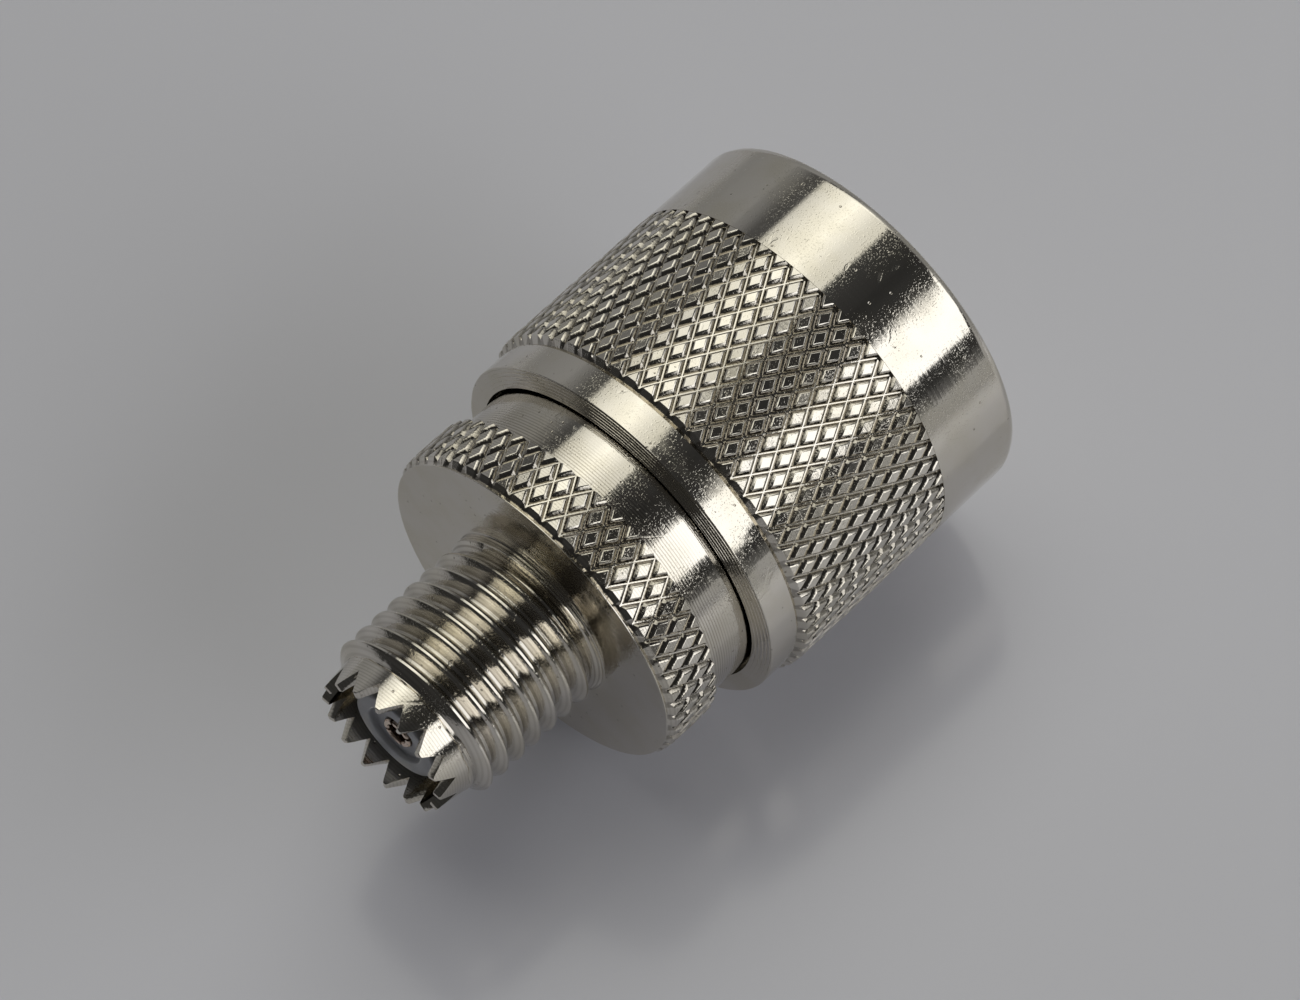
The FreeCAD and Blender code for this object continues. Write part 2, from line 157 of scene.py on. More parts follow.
CROWN_EDGE = 0.035
CROWN_BURR = 0.03
CROWN_TEETH = 16
TOOTH_DEPTH = 1.00
FEED_LINES_FROM_Z = 17.0
NECK_LINES_TO_Z = 24.0
BOSS_RADIUS = 2.50

# Threads of both ends
THREAD_PITCH = 1.0583
NUT_THREAD_DEPTH = 0.515

# Insulators and contacts
BOSS_RECESS_RADIUS = 1.65
BOSS_RECESS_DEPTH = 0.30
SLEEVE_BORE_RADIUS = 3.50
SLEEVE_ROOT_RADIUS = 4.35
GASKET_BORE = 4.45
BEAD_STEP_Z = 12.90
PIN_SHOULDER_RADIUS = 1.52
PIN_NECK_RADIUS = 1.05
PIN_SHOULDER_Z = 6.78
SPIGOT_RADIUS = 0.50
SOCKET_RADIUS = 0.85
SOCKET_COLLAR_LENGTH = 1.20
SOCKET_LIP = 0.06
BEAD_CLEARANCE = 0.02
PIN_NOSE_LENGTH = 0.45
SOCKET_SLOT_WIDTH = 0.16
SOCKET_SLOT_LENGTH = 4.00
SOCKET_FINGERS = 4

# How fine the meshes are
EASE_STEPS = 4
FACE_SUPPORT = 0.10
SHARP_DEG = 32
WELD = 1e-7

# The photograph's view: the camera looks along +Y and down, and is rolled about its own axis
CAMERA_PLACE = (0.0001, -0.26413, 0.11644)
CAMERA_ELEVATION_DEG = 21.11
CAMERA_ROLL_DEG = 227.67
CAMERA_LENS_MM = 166.15
FLOOR_UP = Vector((0.411, -0.911, 0)).normalized()
FLOOR_DISTANCE = 10.19
FLOOR_RADIUS = 120
SHEET_COLOUR = (0.715, 0.72, 0.785, 1)
BACKDROP = (0.376, 0.376, 0.386, 1)


# Columns of every turned piece, in step with the crown: shares of a tooth's pitch from gap to gap
TOOTH_STATIONS = (0.0, 0.045, 0.17, 0.30, 0.415, 0.455, 0.50, 0.545, 0.585, 0.70, 0.83, 0.955)
TOOTH_TIP_HALF = 0.075
COLUMNS = [
    TURN * ((tooth + 0.5 + station) / CROWN_TEETH)
    for tooth in range(CROWN_TEETH) for station in TOOTH_STATIONS]


def polar(radius, angle, z):
    return Vector((radius * math.cos(angle), radius * math.sin(angle), z)) * MM


def eased(outline, closed=True):
    """Outline of (radius, z) points from corners (radius, z, ease), each rounded over ease."""
    last = len(outline) - 1
    points = []
    for index, (radius, z, ease) in enumerate(outline):
        if ease == 0 or (not closed and index in (0, last)):
            points.append((radius, z))
            continue
        here = Vector((radius, z))
        before = Vector(outline[index - 1][:2])
        after = Vector(outline[(index + 1) % (last + 1)][:2])
        start = here + (before - here).normalized() * ease
        end = here + (after - here).normalized() * ease
        for step in range(EASE_STEPS + 1):
            share = step / EASE_STEPS
            points.append(tuple(start.lerp(here, share).lerp(here.lerp(end, share), share)))
    return points


def new_mesh():
    """Empty mesh whose vertices can tell how deep in a groove they lie."""
    mesh = bmesh.new()
    mesh.verts.layers.float.new("groove")
    return mesh


def ring(mesh, radius, z):
    """One vertex for each column, or a single one on the axis."""
    if radius <= 0:
        return [mesh.verts.new((0, 0, z * MM))]
    return [mesh.verts.new(polar(radius, angle, z)) for angle in COLUMNS]


def face(mesh, *corners):
    """Face of the corners that differ, or nothing if they fall together."""
    corners = list(dict.fromkeys(corners))
    if len(corners) > 2:
        mesh.faces.new(corners)


def skin(mesh, low, high):
    """Faces between two rings, either of which may be a point on the axis."""
    count = max(len(low), len(high))
    for index in range(count):
        after = (index + 1) % count
        face(mesh, low[index % len(low)], low[after % len(low)],
             high[after % len(high)], high[index % len(high)])


def turned(mesh, outline, closed=True):
    """Skin that the outline sweeps about the axis. Gives its first and last ring."""
    rings = [ring(mesh, radius, z) for radius, z in outline]
    following = rings[1:] + rings[:1] if closed else rings[1:]
    for low, high in zip(rings, following):
        skin(mesh, low, high)
    return rings[0], rings[-1]


def flat_ring(mesh, *loops):
    """Flat faces between two loops that lie in one plane."""
    edges = []
    for loop in loops:
        for first, second in zip(loop, loop[1:] + loop[:1]):
            edges.append(mesh.edges.get((first, second)) or mesh.edges.new((first, second)))
    bmesh.ops.triangle_fill(mesh, use_beauty=True, edges=edges, normal=(0, 0, 1))


# Diamond knurl: where the lines across one point lie, and how deep each one is
KNURL_STATIONS = (0.0, 0.03, 0.10, 0.235, 0.26, 0.74, 0.765, 0.90, 0.97, 1.0)
KNURL_DEPTHS = (1.0, 1.0, 0.56, 0.05, 0.0, 0.0, 0.05, 0.56, 1.0, 1.0)
KNURL_END_DROP = 0.045
KNURL_END_EASE = 0.30
KNURL_END_LIFT = 0.09
KNURL_UNDERCUT = 0.16
UNDERCUT_RISE = 0.04
# Strength of the painted shade on the knurl's groove flanks; the groove bottoms are left bright.
FLANK_SHADE_STRENGTH = 0.48


def knurled(mesh, crest, depth, low_z, high_z, teeth, rows, first_notch_deg):
    """Diamond knurl of flat-topped points. Gives the loops of vertices at its two ends.

    Places are counted along the two families of grooves, so a vertex is named by how far
    it is along both together, which is its height, and by their difference, its angle.
    """
    steps = len(KNURL_STATIONS) - 1
    half_pitch = math.pi / teeth
    half_row = (high_z - low_z) / rows
    first_notch = math.radians(first_notch_deg)
    groove = mesh.verts.layers.float["groove"]
    around = 2 * steps * teeth
    placed = {}

    def vertex(i, j, p, q):
        key = ((i - j) * steps + p - q) % around, (i + j) * steps + p + q
        if key not in placed:
            along, across = i + KNURL_STATIONS[p], j + KNURL_STATIONS[q]
            z = low_z + half_row * (along + across)
            inwards = min(1.0, min(z - low_z, high_z - z) / KNURL_END_EASE)
            top = crest - KNURL_END_DROP * (1 - inwards) ** 2
            share = max(KNURL_DEPTHS[p], KNURL_DEPTHS[q])
            radius = top - share * (depth - KNURL_END_DROP * (1 - inwards) ** 2)
            angle = first_notch + half_pitch * (along - across - rows)
            if key[1] == rows * steps:
                z += KNURL_END_LIFT * share
            placed[key] = mesh.verts.new(polar(radius, angle, z))
            placed[key][groove] = share
        return placed[key]

    low_loop, high_loop = [], []
    for tooth in range(teeth):
        for row in range(-1, rows):
            turn = 2 * tooth + row % 2
            i, j = (row + turn) // 2, (row - turn) // 2
            for p in range(steps):
                for q in range(steps):
                    if row == -1 and p + q < steps - 1 or row == rows - 1 and p + q > steps - 1:
                        continue
                    corners = [(p, q), (p + 1, q), (p + 1, q + 1), (p, q + 1)]
                    if p + q == steps - 1 and row == -1:
                        corners = corners[1:]
                    elif p + q == steps - 1 and row == rows - 1:
                        corners = corners[:2] + corners[3:]
                    face(mesh, *[vertex(i, j, *corner) for corner in corners])
            if row in (-1, rows - 1):
                loop = low_loop if row == -1 else high_loop
                loop += [vertex(i, j, p, steps - p) for p in range(steps)]
    return low_loop, high_loop


# Thread: places along one pitch from a root to the next, and how deep each one is
THREAD_STATIONS = (-0.5, -0.43, -0.40, -0.085, -0.05, 0.05, 0.085, 0.40, 0.43)
THREAD_DEPTHS = (1.0, 1.0, 0.93, 0.05, 0.0, 0.0, 0.05, 0.93, 1.0)
THREAD_RUN_OUT = 0.70
# Share of the painted flank shade that the thread's flanks get.
THREAD_FLANK_SHADE = 0.22


def threaded(mesh, low_z, high_z, crest_z, radius_at):
    """Right-hand thread whose rows follow the helix. Gives the rings at its two ends.

    crest_z is the height of a crest at angle 0, and radius_at(z, share) the radius at a
    height for a share of the thread's depth.
    """
    stations = len(THREAD_STATIONS)
    first = math.floor((low_z - crest_z) / THREAD_PITCH) - 2
    last = math.ceil((high_z - crest_z) / THREAD_PITCH) + 2
    low, high = ring(mesh, radius_at(low_z, 0), low_z), ring(mesh, radius_at(high_z, 0), high_z)
    groove = mesh.verts.layers.float["groove"]
    columns = []
    for index, angle in enumerate(COLUMNS):
        column = []
        for turn in range(first, last + 1):
            for station, share in zip(THREAD_STATIONS, THREAD_DEPTHS):
                z = crest_z + THREAD_PITCH * (turn + angle / TURN + station)
                if z <= low_z or z >= high_z:
                    column.append(low[index] if z <= low_z else high[index])
                    continue
                column.append(mesh.verts.new(polar(radius_at(z, share), angle, z)))
                # The groove value is scaled down here only to weaken the painted flank shade on the thread.
                column[-1][groove] = share * THREAD_FLANK_SHADE
        columns.append(column)
    for index, column in enumerate(columns):
        following = columns[index + 1] if index + 1 < len(columns) else columns[0][stations:]
        for row in range(len(following) - 1):
            face(mesh, column[row], following[row], following[row + 1], column[row + 1])
    return low, high


def smooth_step(share):
    share = min(1.0, max(0.0, share))
    return share * share * (3 - 2 * share)


def finished(name, mesh, body, material, node):
    """Piece from a mesh, which rides on its body and stands for its CAD node."""
    bmesh.ops.recalc_face_normals(mesh, faces=mesh.faces)
    groove = mesh.verts.layers.float["groove"]
    for mesh_face in mesh.faces:
        mesh_face.smooth = True
    for edge in mesh.edges:
        raised = [all(v[groove] == 0 for v in side.verts) for side in edge.link_faces]
        bend = edge.calc_face_angle(0.0)
        edge.smooth = bend < math.radians(SHARP_DEG) and (len(set(raised)) < 2 or bend < 0.05)
    data = bpy.data.meshes.new(name)
    mesh.to_mesh(data)
    mesh.free()
    data.materials.append(material)
    piece = bpy.data.objects.new(name, data)
    bpy.context.scene.collection.objects.link(piece)
    flats = piece.modifiers.new("keep_flats_flat", "WEIGHTED_NORMAL")
    flats.keep_sharp = True
    flats.weight = 100
    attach(piece, body)
    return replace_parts(piece, node)


# Shader nodes
def add(tree, kind, inputs=None, **settings):
    """Node of that kind, with its settings and its inputs, each a value or a socket."""
    made = tree.nodes.new("ShaderNode" + kind)
    for name, value in settings.items():
        setattr(made, name, value)
    for name, value in (inputs or {}).items():
        if isinstance(value, bpy.types.NodeSocket):
            tree.links.new(value, made.inputs[name])
        else:
            made.inputs[name].default_value = value
    return made


def maths(tree, operation, *values):
    return add(tree, "Math", dict(enumerate(values)), operation=operation).outputs[0]


def ramp(tree, value, low, high, to_low=0.0, to_high=1.0):
    """Value carried smoothly from the range low to high into another."""
    return add(tree, "MapRange", {
        "Value": value, "From Min": low, "From Max": high, "To Min": to_low, "To Max": to_high,
    }, interpolation_type="SMOOTHSTEP").outputs["Result"]


def blended(tree, share, first, second):
    mixed = add(tree, "Mix", {"Factor": share}, data_type="RGBA")
    for socket, value in ((mixed.inputs[6], first), (mixed.inputs[7], second)):
        if isinstance(value, bpy.types.NodeSocket):
            tree.links.new(value, socket)
        else:
            socket.default_value = (*value, 1)
    return mixed.outputs[2]


def effect(name, inputs, outputs):
    """Empty node group with its named inputs and outputs, and its two end nodes."""
    tree = bpy.data.node_groups.new(name, "ShaderNodeTree")
    for label, value in inputs.items():
        socket = tree.interface.new_socket(label, in_out="INPUT", socket_type="NodeSocketFloat")
        socket.default_value = value
    for label in outputs:
        tree.interface.new_socket(label, in_out="OUTPUT", socket_type="NodeSocketFloat")
    return tree, tree.nodes.new("NodeGroupInput").outputs, tree.nodes.new("NodeGroupOutput").inputs


def lathe_marks():
    """Fine rings left by turning: they follow the radius on faces and the height on barrels."""
    tree, given, result = effect(
        "lathe_marks", {"Spacing": 0.09, "Chatter": 0.2}, ["Height", "Streaks"])
    place = add(tree, "TexCoord").outputs["Object"]
    parts = add(tree, "SeparateXYZ", {0: place}).outputs
    flat = add(tree, "CombineXYZ", {0: parts[0], 1: parts[1]}).outputs[0]
    radius = add(tree, "VectorMath", {0: flat}, operation="LENGTH").outputs["Value"]
    bearing = add(tree, "VectorMath", {0: flat}, operation="NORMALIZE").outputs[0]
    drift = add(tree, "VectorMath", {0: bearing, "Scale": given["Chatter"]}, operation="SCALE")
    scale = maths(tree, "DIVIDE", 1000.0, given["Spacing"])
    rings = add(tree, "CombineXYZ", {
        0: maths(tree, "MULTIPLY", radius, scale), 1: maths(tree, "MULTIPLY", parts[2], scale)})
    spot = add(tree, "VectorMath", {0: rings.outputs[0], 1: drift.outputs[0]}, operation="ADD")
    fine = add(tree, "TexNoise", {"Vector": spot.outputs[0], "Scale": 0.5, "Detail": 2.0})
    broad = add(tree, "TexNoise", {"Vector": spot.outputs[0], "Scale": 0.07, "Detail": 1.0})
    tree.links.new(fine.outputs[0], result["Height"])
    tree.links.new(broad.outputs[0], result["Streaks"])
    return tree


def handling_marks():
    """Specks and hairline scratches of a plated part that has been handled."""
    tree, given, result = effect(
        "handling_marks", {"Scale": 1.0, "Amount": 0.5}, ["Specks", "Scratches"])
    place = add(tree, "TexCoord").outputs["Object"]
    size = maths(tree, "MULTIPLY", given["Scale"], 1000.0)
    cells = add(tree, "TexVoronoi", {"Vector": place, "Scale": maths(tree, "MULTIPLY", size, 2.6)})
    chance = add(tree, "SeparateColor", {0: cells.outputs["Color"]}).outputs[0]
    rare = maths(tree, "GREATER_THAN", given["Amount"], chance)
    near = ramp(tree, cells.outputs["Distance"], 0.10, 0.20, 1.0, 0.0)
    tree.links.new(maths(tree, "MULTIPLY", rare, near), result["Specks"])
    lines = []
    for turn, seed in ((0.5, 1.7), (1.4, 4.1), (2.3, 7.9)):
        turned_place = add(tree, "Mapping", {
            "Vector": place, "Rotation": (turn, turn * 1.7, turn * 0.6), "Location": (seed,) * 3})
        stretched = add(tree, "VectorMath", {
            0: turned_place.outputs[0], 1: (0.06, 1.0, 1.0)}, operation="MULTIPLY")
        hair = add(tree, "TexNoise", {
            "Vector": stretched.outputs[0], "Scale": maths(tree, "MULTIPLY", size, 1.6), "Detail": 2.0})
        lines.append(ramp(tree, hair.outputs[0], 0.70, 0.76))
    both = maths(tree, "MAXIMUM", maths(tree, "MAXIMUM", lines[0], lines[1]), lines[2])
    tree.links.new(both, result["Scratches"])
    return tree


def soft_clouds():
    """Slow patches of colour and gloss."""
    tree, given, result = effect("soft_clouds", {"Size": 3.0}, ["Clouds", "Grain"])
    place = add(tree, "TexCoord").outputs["Object"]
    scale = maths(tree, "DIVIDE", 1000.0, given["Size"])
    slow = add(tree, "TexNoise", {"Vector": place, "Scale": scale, "Detail": 4.0})
    quick = add(tree, "TexNoise", {
        "Vector": place, "Scale": maths(tree, "MULTIPLY", scale, 26.0), "Detail": 2.0})
    tree.links.new(slow.outputs[0], result["Clouds"])
    tree.links.new(quick.outputs[0], result["Grain"])
    return tree


def feed_lines():
    """Even lines of the turning tool's feed: strong on the barrel by the flange, weak past it, and strong
    on the neck next to the flange face, where the lines also serve as painted shade.
    """
    tree, given, result = effect("feed_lines", {"Spacing": 0.15}, ["Lines"])
    place = add(tree, "TexCoord").outputs["Object"]
    height = maths(tree, "DIVIDE", add(tree, "SeparateXYZ", {0: place}).outputs[2], MM)
    waver = add(tree, "TexNoise", {"Vector": place, "Scale": 400.0}).outputs[0]
    phase = maths(tree, "DIVIDE", maths(tree, "MULTIPLY", height, TURN), given["Spacing"])
    wave = maths(tree, "SINE", maths(tree, "ADD", phase, maths(tree, "MULTIPLY", waver, 1.2)))
    strength = ramp(tree, height, FEED_LINES_FROM_Z, FLANGE_BACK_Z - 0.5)
    strength = maths(tree, "MULTIPLY", strength, ramp(
        tree, height, FLANGE_BACK_Z, FLANGE_BACK_Z + 0.05, 1.0, 0.4))
    # On the neck by the flange face the lines are painted shade as well as feed marks.
    painted_neck_shade = maths(tree, "MULTIPLY", ramp(tree, height, FLANGE_FACE_Z, FLANGE_FACE_Z + 0.05), ramp(
        tree, height, NECK_LINES_TO_Z - 0.5, NECK_LINES_TO_Z, 1.0, 0.0))
    strength = maths(tree, "MAXIMUM", strength, painted_neck_shade)
    lines = maths(tree, "MULTIPLY", ramp(tree, wave, -0.2, 0.9), strength)
    tree.links.new(lines, result["Lines"])
    return tree


LATHE_MARKS = lathe_marks()
FEED_LINES_AND_NECK_SHADE = feed_lines()
HANDLING_MARKS = handling_marks()
SOFT_CLOUDS = soft_clouds()


def start_material(name):
    material = bpy.data.materials.new(name)
    material.use_nodes = True
    tree = material.node_tree
    tree.nodes.clear()
    shader = add(tree, "BsdfPrincipled")
    add(tree, "OutputMaterial", {"Surface": shader.outputs[0]})
    return material, tree, shader


def use(tree, group, **inputs):
    placed = add(tree, "Group", node_tree=group)
    for name, value in inputs.items():
        placed.inputs[name.replace("_", " ")].default_value = value
    return placed.outputs


def plated_metal(name, bright, warm, dirt_and_shade, roughness, haze=0.11, feed=0.0):
    """Bright plating over turned metal: rings, specks, hairlines, and painted shade that darkens the
    grooves' flanks.
    """
    material, tree, shader = start_material(name)
    shader.inputs["Metallic"].default_value = 1.0
    rings = use(tree, LATHE_MARKS, Spacing=0.09, Chatter=0.35)
    marks = use(tree, HANDLING_MARKS, Scale=1.0, Amount=0.16)
    clouds = use(tree, SOFT_CLOUDS, Size=2.4)
    groove = add(tree, "Attribute", attribute_name="groove").outputs["Fac"]
    tint = blended(tree, ramp(tree, clouds["Clouds"], 0.35, 0.68), bright, warm)
    tint = blended(tree, maths(tree, "MULTIPLY", marks["Specks"], 0.55), tint, dirt_and_shade)
    # Feed lines darken the colour: real turning marks on the barrel, and painted shade on the neck by the
    # flange face.
    feed_lines_and_shade = maths(tree, "MULTIPLY", use(tree, FEED_LINES_AND_NECK_SHADE, Spacing=0.15)["Lines"], feed)
    tint = blended(tree, feed_lines_and_shade, tint, dirt_and_shade)
    # Painted shade: the grooves' flanks are darkened towards half the dirt colour, while the bottoms stay
    # bright.
    painted_flank_shade = maths(tree, "MULTIPLY", ramp(tree, groove, 0.06, 0.35), ramp(
        tree, groove, 0.80, 1.0, FLANK_SHADE_STRENGTH, 0.0))
    tint = blended(tree, painted_flank_shade, tint, [value * 0.5 for value in dirt_and_shade])
    tree.links.new(tint, shader.inputs["Base Color"])
    gloss = maths(tree, "ADD", roughness, maths(tree, "MULTIPLY", rings["Streaks"], 0.05))
    gloss = maths(tree, "ADD", gloss, maths(tree, "MULTIPLY", marks["Scratches"], 0.10))
    gloss = maths(tree, "ADD", gloss, ramp(tree, clouds["Clouds"], 0.52, 0.70, 0.0, haze))
    tree.links.new(gloss, shader.inputs["Roughness"])
    turning = maths(tree, "MULTIPLY", rings["Height"], 1.5)
    relief = maths(tree, "SUBTRACT", turning, maths(tree, "MULTIPLY", marks["Specks"], 2.5))
    relief = maths(tree, "SUBTRACT", relief, maths(tree, "MULTIPLY", marks["Scratches"], 1.2))
    pits = ramp(tree, clouds["Grain"], 0.53, 0.78)
    pits = maths(tree, "MULTIPLY", pits, ramp(tree, clouds["Clouds"], 0.38, 0.60, 0.25, 1.0))
    relief = maths(tree, "ADD", relief, maths(tree, "MULTIPLY", pits, 1.1))
    relief = maths(tree, "SUBTRACT", relief, maths(tree, "MULTIPLY", feed_lines_and_shade, 0.8))
    bump = add(tree, "Bump", {"Strength": 1.0, "Distance": 0.004 * MM, "Height": relief})
    tree.links.new(bump.outputs[0], shader.inputs["Normal"])
    return material


def moulded_plastic(name, colour, shade, roughness, glow=0.0, glow_reach=(1.0, 1.0, 1.0)):
    """Waxy or rubbery moulding with a fine grain and faint turning rings."""
    material, tree, shader = start_material(name)
    rings = use(tree, LATHE_MARKS, Spacing=0.16, Chatter=0.3)
    marks = use(tree, HANDLING_MARKS, Scale=0.8, Amount=0.06)
    clouds = use(tree, SOFT_CLOUDS, Size=1.6)
    tint = blended(tree, ramp(tree, clouds["Clouds"], 0.3, 0.7), colour, shade)
    tint = blended(tree, maths(tree, "MULTIPLY", marks["Specks"], 0.5), tint, shade)
    tree.links.new(tint, shader.inputs["Base Color"])
    gloss = maths(tree, "ADD", roughness, maths(tree, "MULTIPLY", clouds["Grain"], 0.12))
    tree.links.new(gloss, shader.inputs["Roughness"])
    shader.inputs["Subsurface Weight"].default_value = glow
    shader.inputs["Subsurface Radius"].default_value = glow_reach
    shader.inputs["Subsurface Scale"].default_value = 0.6 * MM
    relief = maths(tree, "ADD", rings["Height"], maths(tree, "MULTIPLY", clouds["Grain"], 1.5))
    bump = add(tree, "Bump", {"Strength": 1.0, "Distance": 0.004 * MM, "Height": relief})
    tree.links.new(bump.outputs[0], shader.inputs["Normal"])
    return material


NICKEL_TONES = (0.71, 0.675, 0.61), (0.67, 0.63, 0.54), (0.20, 0.17, 0.13)
NUT_NICKEL = plated_metal("nickel_plate", *NICKEL_TONES, 0.055)
SHELL_NICKEL = plated_metal("turned_nickel_plate", *NICKEL_TONES, 0.05, haze=0.05, feed=0.5)
SLEEVE_NICKEL = plated_metal(
    "nickel_sleeve", (0.72, 0.68, 0.60), (0.66, 0.61, 0.50), (0.25, 0.22, 0.18), 0.16)
SPRING_WIRE = plated_metal(
    "spring_wire", (0.42, 0.40, 0.37), (0.34, 0.31, 0.28), (0.12, 0.10, 0.09), 0.32)
PIN_GOLD = plated_metal("gold_pin", (0.86, 0.64, 0.28), (0.78, 0.54, 0.22), (0.30, 0.18, 0.08), 0.17)
SOCKET_GOLD = plated_metal(
    "gold_socket", (0.66, 0.54, 0.44), (0.56, 0.42, 0.33), (0.20, 0.11, 0.08), 0.16)
SILICONE = moulded_plastic("red_silicone", (0.52, 0.07, 0.04), (0.38, 0.05, 0.03), 0.45)
FRONT_FLUOROPOLYMER = moulded_plastic(
    "front_fluoropolymer", (0.84, 0.84, 0.82), (0.76, 0.76, 0.73), 0.38, 0.5)
REAR_PLASTIC = moulded_plastic(
    "milky_rear_plastic", (0.43, 0.44, 0.465), (0.35, 0.36, 0.385), 0.28, 0.6)


def coupling_nut():
    mesh = new_mesh()
    thread_low_z = MOUTH_CHAMFER
    thread_high_z = MOUTH_CHAMFER + NUT_THREAD_LENGTH
    mouth, shoulder = turned(mesh, eased([
        (NUT_THREAD_RADIUS, thread_low_z, 0),
        (NUT_THREAD_RADIUS + MOUTH_CHAMFER, 0, 0.03),
        (RIM_RADIUS, 0, 0.05),
        (RIM_RADIUS + 0.26, 0.10, 0.12),
        (RING_RADIUS, 0.44, 0.12),
        (RING_RADIUS, RING_LENGTH, 0),
    ], closed=False), closed=False)
    end_steps = []
    for step in range(COLLAR_END_STEPS):
        radius = COLLAR_RADIUS - COLLAR_END_EDGE - COLLAR_STEP_WIDTH * step
        z = NUT_LENGTH - COLLAR_STEP_HEIGHT * (COLLAR_END_STEPS - step)
        end_steps += [(radius, z, 0), (radius, z + COLLAR_STEP_HEIGHT, 0.015)]
    land, relief = turned(mesh, eased([
        (COLLAR_RADIUS - KNURL_UNDERCUT, COLLAR_Z - UNDERCUT_RISE, 0),
        (COLLAR_RADIUS, COLLAR_Z, 0.02),
        (COLLAR_RADIUS, NUT_LENGTH - COLLAR_STEP_HEIGHT * COLLAR_END_STEPS, 0.08),
        *end_steps,
        (COLLAR_LIP_BORE, NUT_LENGTH, 0.02),
        (COLLAR_LIP_BORE, NUT_LENGTH - COLLAR_LIP_LENGTH, 0.05),
        (COLLAR_BORE, NUT_LENGTH - COLLAR_LIP_LENGTH - COLLAR_LIP_CONE, 0.05),
        (COLLAR_BORE, WEB_BACK_Z, 0.05),
        (WEB_BORE, WEB_BACK_Z, 0.05),
        (WEB_BORE, RING_GROOVE_HIGH_Z, 0.02),
        (RING_GROOVE_RADIUS, RING_GROOVE_HIGH_Z, 0.02),
        (RING_GROOVE_RADIUS, RING_GROOVE_LOW_Z, 0.02),
        (WEB_BORE, RING_GROOVE_LOW_Z, 0.02),
        (WEB_BORE, WEB_FRONT_Z, 0.05),
        (RELIEF_RADIUS, WEB_FRONT_Z, 0.08),
        (RELIEF_RADIUS, thread_high_z + MOUTH_CHAMFER, 0.05),
        (NUT_THREAD_RADIUS, thread_high_z, 0),
    ], closed=False), closed=False)
    knurl_low, knurl_high = knurled(
        mesh, NUT_KNURL_CREST, NUT_KNURL_DEPTH, RING_LENGTH, KNURL_BACK_Z,
        NUT_KNURL_TEETH, NUT_KNURL_ROWS, NUT_KNURL_FIRST_NOTCH_DEG)
    flat_ring(mesh, shoulder, knurl_low)
    flat_ring(mesh, knurl_high, land)

    def radius_at(z, share):
        ends = min(z - thread_low_z, thread_high_z - z) / THREAD_RUN_OUT
        return NUT_THREAD_RADIUS + NUT_THREAD_DEPTH * share * smooth_step(ends)

    first, last = threaded(mesh, thread_low_z, thread_high_z, thread_low_z, radius_at)
    joined(mesh, first + last + mouth + relief)
    finished("knurled_coupling_nut", mesh, "coupling_nut", NUT_NICKEL, "coupling_nut")


def crown(mesh, base):
    """Serrated crown on a ring of the thread's end. Gives the ring at the cavity's floor."""
    burr = random.Random(16)
    heights = []
    for column in range(len(COLUMNS)):
        station = TOOTH_STATIONS[column % len(TOOTH_STATIONS)]
        climb = min(1.0, (0.5 - abs(station - 0.5)) / (0.5 - TOOTH_TIP_HALF))
        heights.append(TIP_Z - TOOTH_DEPTH * (1 - climb) - CROWN_BURR * burr.random())

    def outer_radius(z):
        share = min(1.0, max(0.0, (z - CROWN_BASE_Z) / (TIP_Z - CROWN_BASE_Z)))
        return CROWN_BASE_RADIUS - (CROWN_BASE_RADIUS - CROWN_TIP_RADIUS) * share ** 0.8

    inner_radius = CROWN_TIP_RADIUS - CROWN_WALL
    low = base
    for share in (CROWN_FOOT_SHARE, 0.06, 0.20, 0.45, 0.70, 0.90):
        row = []
        for angle, top in zip(COLUMNS, heights):
            z = CROWN_BASE_Z + (top - CROWN_EDGE - CROWN_BASE_Z) * share
            dip = CROWN_FOOT_DIP if share == CROWN_FOOT_SHARE else 0.0
            row.append(mesh.verts.new(polar(outer_radius(z) - dip, angle, z)))
        skin(mesh, low, row)
        low = row
    for inwards, drop in (
            (0.0, -CROWN_EDGE), (CROWN_EDGE, 0.0),
            (CROWN_WALL - CROWN_EDGE, 0.0), (CROWN_WALL, -CROWN_EDGE)):
        row = [
            mesh.verts.new(polar(CROWN_TIP_RADIUS - inwards, angle, top + drop))
            if inwards else mesh.verts.new(polar(outer_radius(top + drop), angle, top + drop))
            for angle, top in zip(COLUMNS, heights)]
        skin(mesh, low, row)
        low = row
    for share in (0.35, 0.70, 1.0):
        row = []
        for angle, top in zip(COLUMNS, heights):
            rim = top - CROWN_EDGE
            z = rim + (CROWN_FLOOR_Z - top + CROWN_EDGE) * share
            row.append(mesh.verts.new(polar(inner_radius, angle, z)))
        skin(mesh, low, row)
        low = row
    return low


